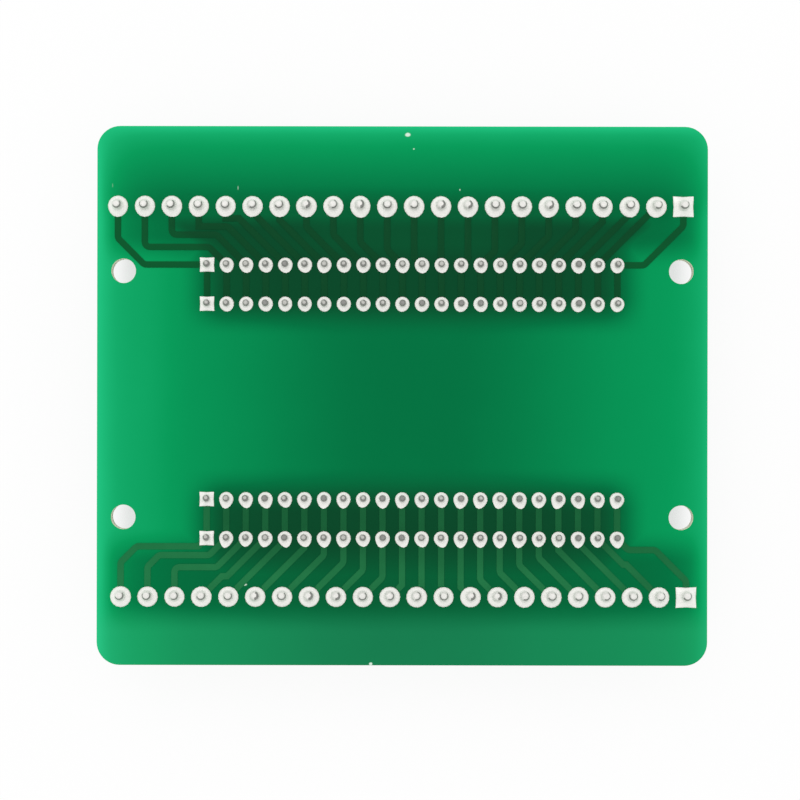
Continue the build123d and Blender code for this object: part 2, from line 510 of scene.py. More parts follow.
class Shade:
    """A value in a shader, whose sums and products add the nodes that work them out."""

    def __init__(self, finish, socket):
        self.finish = finish
        self.socket = socket

    def of(self, output):
        """Another output of the same node."""
        return Shade(self.finish, self.socket.node.outputs[output])

    def __add__(self, other):
        return self.finish.math("ADD", self, other)

    __radd__ = __add__

    def __sub__(self, other):
        return self.finish.math("SUBTRACT", self, other)

    def __rsub__(self, other):
        return self.finish.math("SUBTRACT", other, self)

    def __mul__(self, other):
        return self.finish.math("MULTIPLY", self, other)

    __rmul__ = __mul__

    def __truediv__(self, other):
        return self.finish.math("DIVIDE", self, other)

    def __rtruediv__(self, other):
        return self.finish.math("DIVIDE", other, self)

    def __pow__(self, other):
        return self.finish.math("POWER", self, other)

    def __rpow__(self, other):
        return self.finish.math("POWER", other, self)

    def __neg__(self):
        return self.finish.math("MULTIPLY", self, -1)

    def __abs__(self):
        return self.finish.math("ABSOLUTE", self)


class Finish:
    """A node tree that is put together step by step."""

    def __init__(self, tree):
        self.tree = tree
        self.tree.nodes.clear()

    def node(self, kind, settings=None, inputs=None, out=0):
        """Add a node, set it up, fill its sockets with values or links and give back one of its outputs."""
        made = self.tree.nodes.new(kind)
        for name, value in (settings or {}).items():
            if name == "stops":
                self.set_stops(made.color_ramp, value)
            else:
                setattr(made, name, value)
        for socket, value in (inputs or {}).items():
            if isinstance(value, Shade):
                self.tree.links.new(value.socket, made.inputs[socket])
            else:
                made.inputs[socket].default_value = value
        return Shade(self, made.outputs[out]) if made.outputs else None

    @staticmethod
    def set_stops(ramp, stops):
        """Set a ramp's colours at their places."""
        while len(ramp.elements) < len(stops):
            ramp.elements.new(1)
        for element, (place, tint) in zip(ramp.elements, stops):
            element.position = place
            element.color = (*tint, 1)

    def math(self, operation, *values):
        """A Math node."""
        return self.node("ShaderNodeMath", {"operation": operation}, dict(enumerate(values)))

    def most(self, one, other):
        """The larger of two values."""
        return self.math("MAXIMUM", one, other)

    def least(self, one, other):
        """The smaller of two values."""
        return self.math("MINIMUM", one, other)

    def step(self, value, start, end):
        """Soft step from 0 to 1 as a value goes from start to end."""
        settings = {"interpolation_type": "SMOOTHSTEP"}
        return self.node("ShaderNodeMapRange", settings, {"Value": value, "From Min": start, "From Max": end})

    def band(self, value, rise, fall):
        """Soft band that comes up over one stretch of a value and goes down over another."""
        return self.step(value, *rise) * (1 - self.step(value, *fall))

    def mix(self, factor, one, other):
        """Blend of two colours."""
        one, other = (tint if isinstance(tint, Shade) else (*tint, 1) for tint in (one, other))
        return self.node("ShaderNodeMix", {"data_type": "RGBA"}, {0: factor, 6: one, 7: other}, 2)

    def ramp(self, factor, *stops):
        """Colour along a row of stops."""
        return self.node("ShaderNodeValToRGB", {"stops": stops}, {"Fac": factor}, "Color")

    def place(self):
        """Where a point is on the part."""
        return self.node("ShaderNodeTexCoord", out="Object")

    def axes(self):
        """X, Y and Z of a point on the part, in millimetres."""
        split = self.node("ShaderNodeSeparateXYZ", inputs={"Vector": self.place()}, out="X")
        return [split.of(axis) / mm for axis in "XYZ"]

    def noise(self, grain, detail=2.0, stretch=(1, 1, 1)):
        """Noise whose grain is a length."""
        scale = tuple(part / grain for part in stretch)
        spread = self.node("ShaderNodeMapping", {}, {"Vector": self.place(), "Scale": scale})
        return self.node("ShaderNodeTexNoise", {}, {"Vector": spread, "Scale": 1.0, "Detail": detail}, "Fac")

    def bump(self, height, depth, strength=1.0):
        """Normal of a surface with small relief of a given depth."""
        inputs = {"Height": height, "Distance": depth, "Strength": strength}
        return self.node("ShaderNodeBump", {}, inputs, "Normal")


def surface(name, **inputs):
    """A material with one Principled shader; inputs are functions of the finish, or plain values."""
    material = bpy.data.materials.new(name)
    material.use_nodes = True
    finish = Finish(material.node_tree)
    filled = {}
    for socket, value in inputs.items():
        title = socket.replace("_", " ").title().replace("Ior", "IOR")
        filled[title] = value(finish) if callable(value) else value
    shader = finish.node("ShaderNodeBsdfPrincipled", {}, filled)
    finish.node("ShaderNodeOutputMaterial", {}, {"Surface": shader})
    return material


def uneven(shine, spread, grain):
    """Roughness that differs a little from place to place."""
    return lambda finish: shine + spread * finish.noise(grain)


def relief(grain, depth, strength, **more):
    """Normal of a surface with a fine grain."""
    return lambda finish: finish.bump(finish.noise(grain, **more), depth, strength)


def scaled(tint, by):
    """A colour made lighter or darker."""
    return tuple(by * part for part in tint)


# How the mask's painted light and shade go over the board, as shares from covered (0) to the lit rim (1)
body_share = 0.36
body_rise_share = 0.32
left_lift_share = 0.08
bottom_lift_share = 0.02
bottom_rise_share = 0.7
bottom_right_share = 0.05
bottom_glow_share = 0.05
top_margin_share = 0.81
top_fall_share = 0.049
left_glow_share, right_glow_share, top_glow_share = 1.12, 0.75, 0.22
terminal_cover_share = 0.55
fan_out_cover_share = 0.86
cloud_share = 0.03
open_stop, bright_stop = 0.706, 0.85

# Where it changes, in millimetres from the middle of the board: where each fade starts and ends
body_middle = 1.2
body_rise = (3, 36)
left_lift = (27, 34)
bottom_margin = (26, 30)
bottom_right = (16, 28)
bottom_glow = (27, 31)
top_margin = (22.5, 27.5)
upper_strip = ((7.5, 13.2), (21.5, 26))
lower_strip = ((9, 15.5), (18, 29.5))
upper_terminals = ((16.5, 21.0), (23.5, 27.5))
lower_terminals = ((17.0, 22.0), (26.2, 31.0))
strip_lean = (18.5, 23)
left_lean, right_lean = 6.0, 4.6
fan_out_rise = (17, 20)
fan_out_sides = (8, 18)

# The same from the edges of the board, and how deep the light at the edges comes in
side_rise = (-0.5, 2.5)
left_glow_depth, right_glow_depth, top_glow_depth = 2.4, 2.2, 1.2

# The two shares of a strip's shade, with the fades at its left and right ends: at the ends, and to its middle
strip_fades = ((0.88, (-2.6, 4.0), (-3.4, 3.2)), (0.12, (0, 12), (-12, 0)))

# How much painted light a track gets: everywhere, low on the board, to its right and out of the painted shade
track_light = (0.05, 0.55)
lit_half = (4, 10)
lit_share = 0.2
lit_low_share, lit_low = 0.25, (16.5, 24.5)
lit_right_share, lit_right = 0.2, (22, 32)
lit_open_share, lit_open = 0.24, (0, 0.25)
lit_spread_share = 0.3

# What the mask has in common over the sheet and over copper
mask_gloss = {"specular_ior_level": 0.025, "normal": relief(grain=0.4 * mm, depth=0.01 * mm, strength=0.3)}


def strip_shade(finish, x, low, high):
    """How far a strip between two ends is shaded: quickly at its ends, and a little more to its middle."""
    shade = 0
    for part, left, right in strip_fades:
        rise = [low + off for off in left]
        fall = [high + off for off in right]
        shade = shade + part * finish.band(x, rise, fall)
    return shade


def mask_light(finish):
    """How bright the mask is painted: painted light comes in at the edges, and painted shade where the parts
    behind take it away.
    """
    x, y, _ = finish.axes()
    low, high = board_low / mm, board_high / mm
    from_left, from_right, from_top = x - low.x, high.x - x, high.y - y
    header_low, header_high = (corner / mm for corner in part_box("upper_socket_body"))
    in_bottom = finish.step(-y, *bottom_margin)
    rise = body_rise_share * finish.step(abs(x - body_middle), *body_rise)
    rise = rise * (1 - (1 - bottom_rise_share) * in_bottom)
    body = body_share + rise + left_lift_share * finish.step(-x, *left_lift)
    body = body + in_bottom * (bottom_lift_share - bottom_right_share * finish.step(x, *bottom_right))
    top = top_margin_share - top_fall_share * from_top
    light = body + finish.step(y, *top_margin) * (top - body)
    lean = finish.step(y, *strip_lean)
    upper = strip_shade(finish, x, header_low.x - left_lean * lean, header_high.x + right_lean * lean)
    fan_out = finish.step(y, *fan_out_rise) * (1 - finish.step(abs(x), *fan_out_sides))
    upper = upper * finish.band(y, *upper_strip) * (1 - (1 - fan_out_cover_share) * fan_out)
    lower = finish.band(-y, *lower_strip) * strip_shade(finish, x, header_low.x, header_high.x)
    terminals = finish.band(y, *upper_terminals) + finish.band(-y, *lower_terminals)
    inside = finish.step(from_left, *side_rise) * finish.step(from_right, *side_rise)
    cover = finish.most(upper + lower, terminal_cover_share * inside * terminals)
    light = light * (1 - cover) + top_glow_share * math.e ** (from_top / -top_glow_depth)
    for glow, depth, into in (
        (left_glow_share, left_glow_depth, from_left),
        (right_glow_share, right_glow_depth, from_right),
    ):
        lit = finish.least(glow * math.e ** (into / -depth), 1)
        light = light + lit * (1 - finish.least(light, 1))
    return light


# Chips and specks in the mask: place in millimetres, half width and half height, and how bare they are
chips = (
    ((0.66, 33.95), (0.42, 0.30), 1.0),
    ((-4.05, -34.85), (0.26, 0.24), 1.0),
    ((-20.55, -24.55), (0.45, 0.20), 1.0),
    ((-21.4, 27.0), (0.08, 0.32), 0.45),
    ((-37.7, 27.3), (0.07, 0.30), 0.2),
    ((1.45, 32.1), (0.13, 0.11), 0.8),
    ((7.45, 26.8), (0.11, 0.16), 0.6),
)
chip_grain, chip_ragged, chip_rim = 0.25 * mm, 0.5, (0.5, 1.3)


def chipped(finish):
    """Where the mask is chipped."""
    x, y, _ = finish.axes()
    ragged = chip_ragged * finish.noise(chip_grain)
    chip = None
    for (middle_x, middle_y), (half_x, half_y), bare in chips:
        across = (x - middle_x) / half_x
        along = (y - middle_y) / half_y
        spot = bare * (1 - finish.step(across * across + along * along + ragged, *chip_rim))
        chip = spot if chip is None else finish.most(chip, spot)
    return chip


def solder_mask(look):
    """Green mask over the glass fibre sheet, with painted light and shade."""

    def base(finish):
        # Painted light and shade: brighter towards the edges, darker over the parts behind
        light = mask_light(finish) + cloud_share * (finish.noise(6 * mm) - 0.5)
        mask = finish.ramp(
            light,
            (0.0, look.covered),
            (body_share, look.middle),
            (open_stop, look.open),
            (bright_stop, look.bright),
            (1.0, look.rim),
        )
        _, y, _ = finish.axes()
        # Painted glow along the bottom edge
        mask = finish.mix(bottom_glow_share * finish.step(-y, *bottom_glow), mask, look.edge_glow)
        return finish.mix(chipped(finish), mask, look.chip)

    roughness = uneven(shine=0.32, spread=0.1, grain=1.5 * mm)
    return surface("solder_mask", base_color=base, roughness=roughness, **mask_gloss)


def glass_fibre(look):
    """Cut edge of the sheet, with its layers of cloth."""

    def base(finish):
        layers = finish.noise(grain=0.16 * mm, detail=3.0, stretch=(0.05, 0.05, 1))
        return finish.mix(layers, scaled(look.cut_edge, 0.92), look.cut_edge)

    return surface(
        "glass_fibre",
        base_color=base,
        roughness=0.7,
        specular_ior_level=0.3,
        normal=relief(grain=0.12 * mm, depth=0.02 * mm, strength=0.5, detail=3.0, stretch=(0.1, 0.1, 1)),
    )


def masked_copper(look):
    """Mask over a copper track, with painted light and shade: it stands out more on the side that catches the
    light.
    """

    def base(finish):
        x, y, _ = finish.axes()
        light = mask_light(finish)
        shaded = finish.mix(finish.step(light, *track_light), look.shaded_track, look.open_track)
        lit = lit_share + lit_spread_share * finish.noise(3 * mm)
        lit = lit + lit_open_share * finish.step(light, *lit_open)
        lit = lit + lit_low_share * finish.step(-y, *lit_low) - lit_right_share * finish.step(x, *lit_right)
        return finish.mix(finish.step(-y, *lit_half) * lit, shaded, look.lit_track)

    roughness = uneven(shine=0.3, spread=0.1, grain=1.2 * mm)
    return surface("masked_copper", base_color=base, roughness=roughness, **mask_gloss)


# Where noise goes from stained to clean on metal, and how much paler plastic is in places
stain_fade = (0.35, 0.7)
pale_gain, pale_lift = 1.25, 0.004


def metal(name, tint, grain, shine, metallic, stain=0.25):
    """Plated or soldered metal with a slightly uneven surface."""

    def base(finish):
        clean = finish.step(finish.noise(grain), *stain_fade)
        return finish.mix(clean, scaled(tint, 1 - stain), tint)

    return surface(
        name,
        base_color=base,
        metallic=metallic,
        roughness=uneven(shine, spread=0.2, grain=grain),
        normal=relief(grain, depth=0.02 * mm, strength=0.4),
    )


def moulded(name, tint, shine):
    """Moulded plastic with a fine grain."""

    def base(finish):
        pale = tuple(min(1, pale_gain * part + pale_lift) for part in tint)
        return finish.mix(finish.noise(1.2 * mm), tint, pale)

    return surface(
        name,
        base_color=base,
        roughness=uneven(shine, spread=0.12, grain=0.5 * mm),
        specular_ior_level=0.4,
        normal=relief(grain=0.09 * mm, depth=0.008 * mm, strength=0.5),
    )


# Pieces


class PieceOperator:
    """What the operators have in common."""

    bl_options = {"REGISTER", "UNDO"}


class BREAKOUT_OT_circuit_board(PieceOperator, bpy.types.Operator):
    """Cut the sheet, with its round corners, mounting holes and pin holes"""

    bl_idname = "breakout.circuit_board"
    bl_label = "Circuit board"

    def execute(self, context):
        look = context.scene.breakout.board
        sheet = box("board_sheet", board_low, board_high)
        with editing(sheet):
            bevel(running(2), look.corner_radius, look.corner_segments)
            bevel(level, look.edge_chamfer, 1)
        cut(sheet, self.mounting_drills(look))
        cut(sheet, self.pin_drills(look))
        smooth(sheet)
        for finish in (solder_mask(look), glass_fibre(look)):
            sheet.data.materials.append(finish)
        paint(self.is_cut, sheet, 1)
        seat(sheet, "board", (), "circuit_board")
        return {"FINISHED"}

    @staticmethod
    def is_cut(face):
        """Whether a face stands at the cut edge or in a hole, so that it has no mask."""
        return abs(face.normal.z) < 0.5

    def mounting_drills(self, look):
        """One tool for the mounting holes."""
        middle, dims = mount_holes["pos_m"], mount_holes["dims"]
        foot = component_face - cut_overrun
        drills = []
        for hand in (-1, 1):
            for end in (-1, 1):
                x = middle[0] + hand * dims["spacing_x_mm"] / 2 * mm
                y = middle[1] + end * dims["spacing_y_mm"] / 2 * mm
                radius = dims["hole_r_mm"] * mm
                drills.append(rod("drill", radius, (x, y, foot), solder_face + cut_overrun, look.hole_sides))
        return join(drills, "drills")

    def pin_drills(self, look):
        """One tool for the holes of all pins."""
        drills = []
        for row in rows:
            for kind in pin_kinds:
                node = f"{row}_{kind}_pins"
                poles = pole_places(node)
                low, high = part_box(node)
                reach = Vector((half_width(node, poles[0]), (high.y - low.y) / 2, 0))
                reach += Vector((look.pin_clearance, look.pin_clearance, board_high.z - board_low.z))
                pattern = box("drill", -reach, reach)
                for pole in poles:
                    place = Matrix.Translation((pole.x, pole.y, solder_face))
                    drills.append(copy_at(pattern, "drill", place))
                drop(pattern)
        return join(drills, "drills")


class BREAKOUT_OT_tracks(PieceOperator, bpy.types.Operator):
    """Lay the tracks, with the mask soft over their edges"""

    bl_idname = "breakout.tracks"
    bl_label = "Tracks"

    def execute(self, context):
        look = context.scene.breakout.board
        tracks = clean_copy("tracks", "masked_tracks")
        pads = self.pads()
        half_bend = math.tan(math.pi / 8)
        with editing(tracks):
            for square, spread in ((True, 1.0), (False, half_bend)):
                for outside, radius in ((True, look.bend_outside), (False, look.bend_inside)):
                    width = radius * spread
                    test = partial(self.at_bend, pads, square, outside, 2 * width)
                    bevel(test, width, look.bend_segments, clamp_overlap=True)
        soften(tracks, look.track_edge)
        seat(tracks, "tracks", [masked_copper(look)], "tracks")
        return {"FINISHED"}

    @staticmethod
    def pads():
        """Middle and reach of every pad."""
        found = []
        for row in rows:
            for kind in pin_kinds:
                poles = pole_places(f"{row}_{kind}_pins")
                reach = half_width(f"{row}_{kind}_solder", poles[0])
                found += [(pole.xy, reach * math.sqrt(2)) for pole in poles]
        return found

    @staticmethod
    def at_bend(pads, square, outside, room, edge):
        """Whether an edge stands upright on one side of a bend, square or not, with room for its round."""
        one, other = edge.verts
        if (one.co.xy - other.co.xy).length > same_place or edge.is_convex != outside:
            return False
        turn = edge.calc_face_angle()
        if turn < least_bend or (turn > square_bend) != square:
            return False
        sides = [side for vertex in edge.verts for side in vertex.link_edges if side is not edge]
        roomy = min(side.calc_length() for side in sides) > room
        return roomy and all((one.co.xy - middle).length > reach for middle, reach in pads)


# Rings of a joint from the pad up, as shares of its radius and height: the fillet, then the pin's end
fillet_shares = ((0.97, 0.05), (0.87, 0.12), (0.72, 0.19), (0.57, 0.27), (0.45, 0.42))
end_shares = ((0.43, 0.76), (0.32, 0.94))
cap_share = (0.22, 1.0)
# The two lowest rings, as shares of the height, with how much of a tail each is drawn out by
pad_rings = ((0.0, 1.0), (fillet_shares[0][1], 0.9))
# How many facets to each side of a tail's middle are drawn out in each step, and by which share of the tail
tail_steps = ((0.5, 0.25), (1.5, 0.45), (2.5, 0.3))
# How tails and widths of joints differ, and how far a slanted end is let down, as a share of the height
tail_range, width_range, end_drop_share = (0.7, 1.3), (-0.6, 0.4), 0.05
# The painted shade arc of a pin's end on each pattern of a row's joints: its first facet, how many facets it
# has, and the share of the radius that stays bright inside
shade_arcs = {
    "terminal": ((9, 9, 0.32), (11, 8, 0.32), (12, 7, 0.22), (7, 11, 0.32)),
    "pin_header": ((7, 13, 0.22), (0, 16, 0.32), (0, 16, 0.22), (0, 16, 0.0)),
}
shade_arcs["socket"] = shade_arcs["pin_header"]


class BREAKOUT_OT_solder_joints(PieceOperator, bpy.types.Operator):
    """Solder every pin, with the drag marks of the bath and the clipped pin ends"""

    bl_idname = "breakout.solder_joints"
    bl_label = "Solder joints"

    # The rows of each kind, with the pole whose pad is square and how long a tail the bath left on the others
    kinds = {
        "terminal": (21, {"upper": 0.4, "lower": 0.0}),
        "pin_header": (0, {"upper": 0.6, "lower": 1.0}),
        "socket": (0, {"upper": 0.25, "lower": 1.0}),
    }

    def execute(self, context):
        look = context.scene.breakout.solder
        self.chance = random.Random(look.seed)
        solder = metal("bright_solder", look.metal, grain=0.35 * mm, shine=0.28, metallic=0.12, stain=0.05)
        # Painted shade for the dark arc of a pin's end
        shaded = metal("pin_end", look.end, grain=0.2 * mm, shine=0.4, metallic=0.0, stain=0.2)
        tinned = metal("tinned_pin", look.pin, grain=0.2 * mm, shine=0.4, metallic=0.1, stain=0.1)
        dull = metal("dull_pin", look.dull_pin, grain=0.2 * mm, shine=0.4, metallic=0.1, stain=0.2)
        pins = {"terminal": tinned, "pin_header": dull, "socket": dull}
        for kind, (square_pole, tails) in self.kinds.items():
            finishes = [solder, shaded, pins[kind]]
            for row in rows:
                self.solder_row(look, finishes, kind, row, square_pole, tails[row])
        return {"FINISHED"}

    def solder_row(self, look, finishes, kind, row, square_pole, tail_share):
        """All joints of one row as one piece."""
        node = f"{row}_{kind}_solder"
        low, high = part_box(node)
        radius = (high.y - low.y) / 2
        height = high.z - low.z
        arcs = shade_arcs[kind]
        self.lean = radius * getattr(look, f"{row}_lean")
        square = self.joint(look, finishes, radius, height, arcs[0], square=True)
        tails = [look.tail * tail_share * self.chance.uniform(*tail_range) for _ in arcs]
        patterns = [self.joint(look, finishes, radius, height, arc, tail) for arc, tail in zip(arcs, tails)]
        joints = []
        for number, pole in enumerate(pole_places(f"{row}_{kind}_pins")):
            pattern = square if number == square_pole else self.chance.choice(patterns)
            joints.append(copy_at(pattern, "joint", self.spot(look, pole, number == square_pole)))
        piece = join(joints, f"{row}_{kind}_joints")
        for pattern in (square, *patterns):
            drop(pattern)
        smooth(piece)
        seat(piece, "solder", finishes, node)

    def spot(self, look, pole, square):
        """Place of one joint, with its own small differences."""
        turn = self.chance.uniform(-1, 1) * look.turn_spread
        wide = 1 + look.size_spread * self.chance.uniform(*width_range)
        deep = 1 + look.size_spread * self.chance.uniform(*width_range)
        tall = 1 - look.height_spread * self.chance.random()
        place = Matrix.Translation((pole.x, pole.y, solder_face))
        if not square:
            place = place @ Matrix.Diagonal((wide, deep, 1, 1)) @ Matrix.Rotation(turn, 4, "Z")
        return place @ Matrix.Diagonal((1, 1, tall, 1))

    def joint(self, look, finishes, radius, height, arc, tail=0.0, square=False):
        """One joint, standing on the origin."""
        only()
        bpy.ops.mesh.primitive_circle_add(vertices=look.facets, radius=radius, fill_type="NGON")
        piece = started("joint")
        for finish in finishes:
            piece.data.materials.append(finish)
        shares = [(1.0, 0.0), *fillet_shares, *end_shares, cap_share]
        with editing(piece):
            for (wide, foot), (next_wide, top) in zip(shares, shares[1:]):
                by = self.axis(top, height) - self.axis(foot, height)
                grow(by, (next_wide / wide, next_wide / wide, 1), self.axis(top, height))
            self.tilt_end(look, height)
            self.shape_pad(look, radius, height, tail, square)
            bpy.ops.mesh.select_all(action="SELECT")
            bpy.ops.mesh.normals_make_consistent(inside=False)
        self.paint_end(look, piece, radius, height, arc)
        return piece

    def axis(self, height_share, height):
        """Point on a joint's axis, which leans to the upper edge from the first ring up."""
        return Vector((0, self.lean * max(0, height_share - fillet_shares[0][1]), height_share * height))

    def tilt_end(self, look, height):
        """Slant the clipped end."""
        pick("VERT", lambda vertex: vertex.co.z > end_shares[0][1] * height + same_place)
        bpy.ops.transform.rotate(value=look.end_tilt, orient_axis="X", center_override=self.axis(1, height))
        bpy.ops.transform.translate(value=(0, 0, -end_drop_share * height))

    def shape_pad(self, look, radius, height, tail, square):
        """Draw a tail out of the pad's rim, or square the pad."""
        for height_share, tail_share in pad_rings:
            if square:
                self.square_ring(look, height_share * height)
            elif tail:
                self.draw_tail(look, height_share * height, tail_share * tail * radius)

    def pick_on_ring(self, ring, test):
        """Select the vertices of a ring whose angle passes a test."""

        def chosen(vertex):
            return abs(vertex.co.z - ring) < same_place and test(math.atan2(vertex.co.y, vertex.co.x))

        pick("VERT", chosen)

    def square_ring(self, look, ring):
        """Push a ring out to a square whose sides are a little drawn in."""
        eighth = math.pi / 4
        slack = 0.01
        for test, scale in (
            (lambda off: off < slack, math.sqrt(2)),
            (lambda off: slack < off < eighth - slack, (1 - look.waist / 2) / math.cos(eighth / 2)),
            (lambda off: off > eighth - slack, 1 - look.waist),
        ):
            self.pick_on_ring(ring, lambda at: test(abs(at % (2 * eighth) - eighth)))
            bpy.ops.transform.resize(value=(scale, scale, 1), center_override=(0, 0, 0))

    def draw_tail(self, look, ring, far):
        """Draw a ring out to the lower edge, furthest in the tail's middle."""
        down = -math.pi / 2
        facet = 2 * math.pi / look.facets
        for reach, part in tail_steps:
            self.pick_on_ring(ring, lambda at: abs(at - down) < reach * facet)
            bpy.ops.transform.translate(value=(0, -part * far, 0))

    def paint_end(self, look, piece, radius, height, arc):
        """Give the pin's end its tone, and paint shade on the rim of its face on the shaded side."""
        facet = 2 * math.pi / look.facets
        first, shade_facets, bright_share = arc

        def on_pin(face):
            return face.calc_center_median().z > fillet_shares[-1][1] * height

        def in_shade(face):
            middle = face.calc_center_median()
            middle.y -= self.axis(middle.z / height, height).y
            number = int(math.atan2(middle.y, middle.x) % (2 * math.pi) / facet)
            on_arc = (number - first) % look.facets < shade_facets
            on_rim = middle.z > end_shares[0][1] * height and middle.xy.length >= bright_share * radius
            return on_arc and on_rim

        paint(on_pin, piece, 2)
        paint(in_shade, piece, 1)


class BREAKOUT_OT_terminals(PieceOperator, bpy.types.Operator):
    """Build the screw terminals: housings, wire cages, clamp screws and pins"""

    bl_idname = "breakout.terminals"
    bl_label = "Screw terminals"

    def execute(self, context):
        look = context.scene.breakout.terminals
        self.chance = random.Random(look.seed)
        plastic = moulded("terminal_plastic", look.plastic, shine=0.38)
        nickel = metal("nickel", look.metal, grain=0.6 * mm, shine=0.22, metallic=1.0)
        tin = metal("terminal_tin", look.metal, grain=0.5 * mm, shine=0.3, metallic=1.0)
        housing = self.housing(look)
        screw = self.screw(look)
        for row in rows:
            poles = pole_places(f"{row}_terminal_pins")
            nodes = sorted(name for name in frame["nodes"] if name.startswith(f"{row}_terminal_block_"))
            for node in nodes:
                low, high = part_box(node)
                middle = Vector(((low.x + high.x) / 2, poles[0].y, 0))
                name = node.replace("block", "housing")
                set_copies(housing, [hung(middle, row)], name, "terminal_plastic", plastic, node)
            off = Matrix.Translation((0, self.screw_y, 0))
            turns = [Matrix.Rotation(self.chance.uniform(0, math.pi), 4, "Z") for _ in poles]
            places = [hung(pole, row) @ off @ turn for pole, turn in zip(poles, turns)]
            set_copies(screw, places, f"{row}_slotted_screws", "clamp_metal", nickel, f"{row}_clamp_screws")
            cages = clean_copy(f"{row}_wire_cages", f"{row}_cages")
            soften(cages, look.metal_round)
            seat(cages, "clamp_metal", [nickel], f"{row}_wire_cages")
            frame["nodes"][f"{row}_terminal_pins"].material_slots[0].material = tin
        drop(housing)
        drop(screw)
        return {"FINISHED"}

    def housing(self, look):
        """A two-pole housing that hangs from the origin: half of it, cut and chamfered, then mirrored."""
        pole = pole_places("upper_terminal_pins")[0]
        low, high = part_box("upper_terminal_block_01")
        half = (high.x - low.x) / 2
        back, front = low.y - pole.y, high.y - pole.y
        tall = component_face - low.z
        piece = box("housing", (0, back, 0), (half, front, tall))
        with editing(piece):
            slice_off((0, front, look.front_wall), (0, tall - look.front_wall, look.front_slope))
            slice_off((0, back + look.back_bevel, tall), (0, -1, 1))
            bevel(running(0), look.edge_round, 2)
            pick("FACE", lambda face: abs(face.normal.x) > same_way)
            bpy.ops.mesh.region_to_loop()
            bpy.ops.mesh.bevel(offset=look.edge_chamfer, segments=1, affect="EDGES")
        pole_x = half - (pole.x - low.x)
        cut(piece, self.entry_cutter(look, pole, pole_x, front))
        cut(piece, self.well_cutter(look, pole, pole_x, tall))

        def at_middle(face):
            return face.normal.x < -same_way and abs(face.calc_center_median().x) < same_place

        with editing(piece):
            pick("FACE", at_middle)
            bpy.ops.mesh.delete(type="FACE")
        apply(
            piece, "MIRROR", use_axis=(True, False, False), use_mirror_merge=True, merge_threshold=same_place
        )
        with editing(piece):
            bpy.ops.mesh.normals_make_consistent(inside=False)
        return piece

    def entry_cutter(self, look, pole, x, front):
        """Tool for a wire entry, with its lead-in."""
        low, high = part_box("upper_wire_cages")
        room = look.entry_clearance
        wide = half_width("upper_wire_cages", pole) + room
        sill, top = component_face - high.z, component_face - low.z + 2 * room
        inner = front - look.entry_flare
        tool = box("entry", (x - wide, low.y - pole.y - room, sill), (x + wide, inner, top))
        flare = 1 + look.entry_flare / wide
        lead_in(tool, 1, look.entry_flare, flare, (x, inner, (sill + top) / 2))
        return tool

    def well_cutter(self, look, pole, x, tall):
        """Tool for a screw well, with its lead-in."""
        low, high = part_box("upper_clamp_screws")
        radius = half_width("upper_clamp_screws", pole) + look.well_clearance
        self.screw_y = (low.y + high.y) / 2 - pole.y
        inner = tall - look.well_flare
        tool = rod("well", radius, (x, self.screw_y, component_face - high.z), inner, look.well_sides)
        lead_in(tool, 2, look.well_flare, 1 + look.well_flare / radius, (x, self.screw_y, inner))
        return tool

    def screw(self, look):
        """A slotted screw that hangs from the origin."""
        pole = pole_places("upper_terminal_pins")[0]
        low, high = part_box("upper_clamp_screws")
        radius = half_width("upper_clamp_screws", pole)
        foot, top = component_face - high.z, component_face - low.z
        piece = rod("screw", radius, (0, 0, foot), top, look.well_sides)
        with editing(piece):
            pick("FACE", facing(2, 1))
            bpy.ops.mesh.bevel(offset=look.metal_round * 2, segments=2, affect="EDGES")
        reach = Vector((2 * radius, look.slot_width / 2, look.slot_depth))
        cut(piece, box("slot", Vector((0, 0, top)) - reach, Vector((0, 0, top)) + reach))
        return piece


class BREAKOUT_OT_pin_headers(PieceOperator, bpy.types.Operator):
    """Build the pin headers: notched bodies and pointed pins"""

    bl_idname = "breakout.pin_headers"
    bl_label = "Pin headers"

    def execute(self, context):
        look = context.scene.breakout.headers
        plastic = moulded("header_plastic", look.plastic, shine=0.42)
        gilt = metal("gilt", look.gilt, grain=2 * mm, shine=0.34, metallic=0.75, stain=0.1)
        cell, poles, tall = strip_cell("pin_header")
        wide = half_width("upper_pin_header_pins", poles[0])
        with editing(cell):
            bevel(running(2), look.notch, 1)
            bevel(long_rim, look.edge_round, 2)
        hole = Vector((wide + look.pin_clearance, wide + look.pin_clearance, 2 * tall))
        cut(cell, box("hole", -hole, hole))
        body = chain(cell, poles)
        pin = self.pin(look, wide, component_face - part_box("upper_pin_header_pins")[0].z)
        for row in rows:
            set_strip(body, "pin_header", row, "notched_header", plastic)
            node = f"{row}_pin_header_pins"
            places = [hung(pole, row) for pole in pole_places(node)]
            set_copies(pin, places, f"{row}_gilt_pins", "gilt_pins", gilt, node)
        drop(body)
        drop(pin)
        return {"FINISHED"}

    def pin(self, look, wide, tall):
        """A square pin with a point, from the solder face to its tip."""
        foot = component_face - solder_face
        piece = box("pin", (-wide, -wide, foot), (wide, wide, tall - look.pin_tip))
        with editing(piece):
            pick("FACE", facing(2, 1))
            grow((0, 0, look.pin_tip), (look.pin_tip_share, look.pin_tip_share, 1), (0, 0, tall))
        soften(piece, look.edge_round / 2, 1)
        return piece


